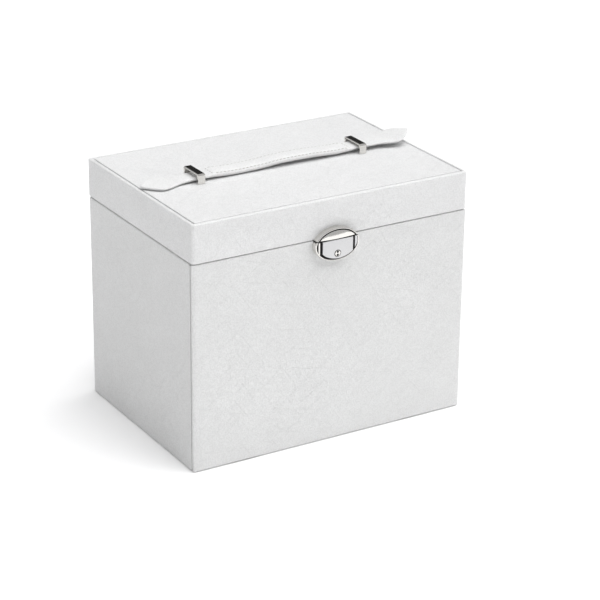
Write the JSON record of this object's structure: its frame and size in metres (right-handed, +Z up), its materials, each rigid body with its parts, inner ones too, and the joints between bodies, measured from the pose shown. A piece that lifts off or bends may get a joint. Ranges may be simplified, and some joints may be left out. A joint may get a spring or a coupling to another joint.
{
  "type": "jewellery chest",
  "caption": "Box-shaped leather-covered jewellery chest with a hinged lid, ring tray, fold-down front, drawers, latch and strap handle.",
  "frame": {"origin": "middle of the footprint of the chest's boards, on the surface it stands on (the base mount)", "axes": "+Z up, the front faces -Y, +X to the right as seen from the front"},
  "size_m": [0.243, 0.1821, 0.2099],
  "materials": {
    "leather": "white embossed faux leather, satin",
    "velvet": "short-pile velvet lining, matt",
    "roll_foam": "velvet-covered foam ring rolls",
    "nickel": "polished nickel plate",
    "brushed_nickel": "finely brushed nickel plate",
    "hinge_steel": "nickel-plated sheet steel",
    "mirror_glass": "flat glass mirror"
  },
  "bodies": {
    "chest": {"base_panel": "leather", "side_panel_left": "leather", "side_panel_right": "leather", "back_panel": "leather", "shelf_lower": "velvet", "shelf_upper": "velvet", "tray_floor": "velvet", "tray_front_wall": "leather", "tray_divider_long": "velvet", "tray_divider_left": "velvet", "tray_divider_right": "velvet", "ring_roll_1": "roll_foam", "ring_roll_2": "roll_foam", "ring_roll_3": "roll_foam", "ring_roll_4": "roll_foam", "ring_roll_5": "roll_foam", "lid_hinge_body_leaf_left": "hinge_steel", "lid_hinge_body_leaf_right": "hinge_steel", "lid_hinge_pin_left": "hinge_steel", "lid_hinge_pin_right": "hinge_steel", "front_hinge_base_leaf_left": "hinge_steel", "front_hinge_base_leaf_right": "hinge_steel", "front_hinge_pin_left": "hinge_steel", "front_hinge_pin_right": "hinge_steel"},
    "lid": {"lid_top_board": "leather", "lid_front_board": "leather", "lid_back_board": "leather", "lid_side_board_left": "leather", "lid_side_board_right": "leather", "mirror_surround": "velvet", "lid_mirror": "mirror_glass", "lid_hinge_lid_leaf_left": "hinge_steel", "lid_hinge_lid_leaf_right": "hinge_steel", "latch_hasp": "nickel", "handle_loop_left": "nickel", "handle_loop_right": "nickel"},
    "front_panel": {"front_panel": "leather", "front_panel_lining": "velvet", "front_hinge_panel_leaf_left": "hinge_steel", "front_hinge_panel_leaf_right": "hinge_steel", "latch_body": "nickel"},
    "latch_slider": {"latch_slider": "brushed_nickel"},
    "key_plug": {"key_plug": "nickel"},
    "drawer_bottom": {"drawer_tub_bottom": "velvet", "drawer_front_bottom": "leather", "drawer_knob_bottom": "nickel", "drawer_divider_bottom": "velvet"},
    "drawer_middle": {"drawer_tub_middle": "velvet", "drawer_front_middle": "leather", "drawer_knob_middle": "nickel", "drawer_divider_middle": "velvet"},
    "drawer_top": {"drawer_tub_top": "velvet", "drawer_front_top": "leather", "drawer_knob_top": "nickel", "drawer_divider_top": "velvet"},
    "strap_grip": {"strap_grip": "leather"},
    "strap_tail_left": {"strap_tail_left": "leather"},
    "strap_tail_right": {"strap_tail_right": "leather"}
  },
  "joints": [
    {"name": "lid_hinge", "type": "hinge", "parent": "chest", "child": "lid", "pos_m": [0, 0.0883, 0.1688], "axis": [-1, 0, 0], "range_deg": [0, 100]},
    {"name": "front_panel_hinge", "type": "hinge", "parent": "chest", "child": "front_panel", "pos_m": [0, -0.0844, 0.0019], "axis": [1, 0, 0], "range_deg": [0, 87.5]},
    {"name": "latch_slide", "type": "slide", "parent": "front_panel", "child": "latch_slider", "axis": [-1, 0, 0], "range_m": [0, 0.002], "stiffness_N_per_m": 150, "springref_m": -0.002},
    {"name": "key_turn", "type": "hinge", "parent": "latch_slider", "child": "key_plug", "pos_m": [0, -0.0915, 0.1572], "axis": [0, 1, 0], "range_deg": [0, 90]},
    {"name": "drawer_bottom_slide", "type": "slide", "parent": "chest", "child": "drawer_bottom", "axis": [0, -1, 0], "range_m": [0, 0.0359]},
    {"name": "drawer_middle_slide", "type": "slide", "parent": "chest", "child": "drawer_middle", "axis": [0, -1, 0], "range_m": [0, 0.0917]},
    {"name": "drawer_top_slide", "type": "slide", "parent": "chest", "child": "drawer_top", "axis": [0, -1, 0], "range_m": [0, 0.1146]},
    {"name": "grip_lift", "type": "slide", "parent": "lid", "child": "strap_grip", "axis": [0, 0, 1], "range_m": [0, 0.02]},
    {"name": "tail_left_slide", "type": "slide", "parent": "strap_grip", "child": "strap_tail_left", "axis": [0.1724, 0, -0.985], "range_m": [0, 0.0204]},
    {"name": "tail_right_slide", "type": "slide", "parent": "strap_grip", "child": "strap_tail_right", "axis": [-0.1724, 0, -0.985], "range_m": [0, 0.0204]}
  ],
  "couplings": [
    {"joint": "drawer_bottom_slide", "follows": "front_panel_hinge", "m_per_rad": 0.0235},
    {"joint": "drawer_middle_slide", "follows": "front_panel_hinge", "m_per_rad": 0.06},
    {"joint": "drawer_top_slide", "follows": "front_panel_hinge", "m_per_rad": 0.075},
    {"joint": "tail_left_slide", "follows": "grip_lift", "ratio": 1.0152},
    {"joint": "tail_right_slide", "follows": "grip_lift", "ratio": 1.0152}
  ]
}
